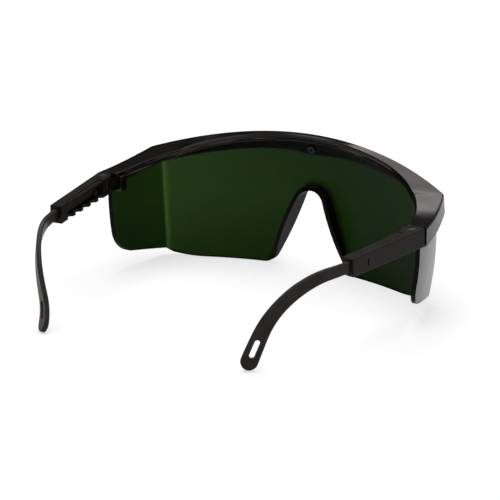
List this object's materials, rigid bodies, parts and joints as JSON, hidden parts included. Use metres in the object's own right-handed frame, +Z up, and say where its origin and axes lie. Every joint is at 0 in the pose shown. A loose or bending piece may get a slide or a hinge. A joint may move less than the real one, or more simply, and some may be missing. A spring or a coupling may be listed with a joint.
{
  "type": "welding_goggles",
  "caption": "Wrap-around safety spectacles with a dark green welding-shade lens, black brow frame, side shields and folding temples of adjustable length.",
  "frame": {"origin": "middle of the footprint, on the surface that the spectacles stand on, open and right way up", "axes": "+X towards the wearer's left temple, +Y from the brow back to the temple tips, +Z up"},
  "size_m": [0.1574, 0.14, 0.0601],
  "materials": {
    "brow_plastic": "glossy black moulded plastic",
    "lens_tint": "clear hard-coated polycarbonate tinted very dark green",
    "stud_plastic": "glossy black plastic",
    "temple_plastic": "satin black moulded plastic",
    "screw_steel": "blackened steel"
  },
  "bodies": {
    "front": {"brow_frame": "brow_plastic", "lens": "lens_tint", "lens_stud": "stud_plastic"},
    "left_sleeve": {"left_temple_sleeve": "temple_plastic", "left_hinge_screw": "screw_steel"},
    "right_sleeve": {"right_temple_sleeve": "temple_plastic", "right_hinge_screw": "screw_steel"},
    "left_arm": {"left_temple_arm": "temple_plastic"},
    "right_arm": {"right_temple_arm": "temple_plastic"}
  },
  "joints": [
    {"name": "left_temple_fold", "type": "hinge", "parent": "front", "child": "left_sleeve", "pos_m": [0.074, -0.01339, 0.0393], "axis": [0, 0.022, 0.9998], "range_deg": [0, 84.5]},
    {"name": "right_temple_fold", "type": "hinge", "parent": "front", "child": "right_sleeve", "pos_m": [-0.074, -0.01339, 0.0393], "axis": [0, -0.022, -0.9998], "range_deg": [-6.8, 70]},
    {"name": "left_temple_length", "type": "slide", "parent": "left_sleeve", "child": "left_arm", "axis": [-0.0958, 0.9936, -0.0603], "range_m": [0, 0.0256]},
    {"name": "right_temple_length", "type": "slide", "parent": "right_sleeve", "child": "right_arm", "axis": [0.2129, 0.9752, -0.0598], "range_m": [0, 0.0256]}
  ]
}
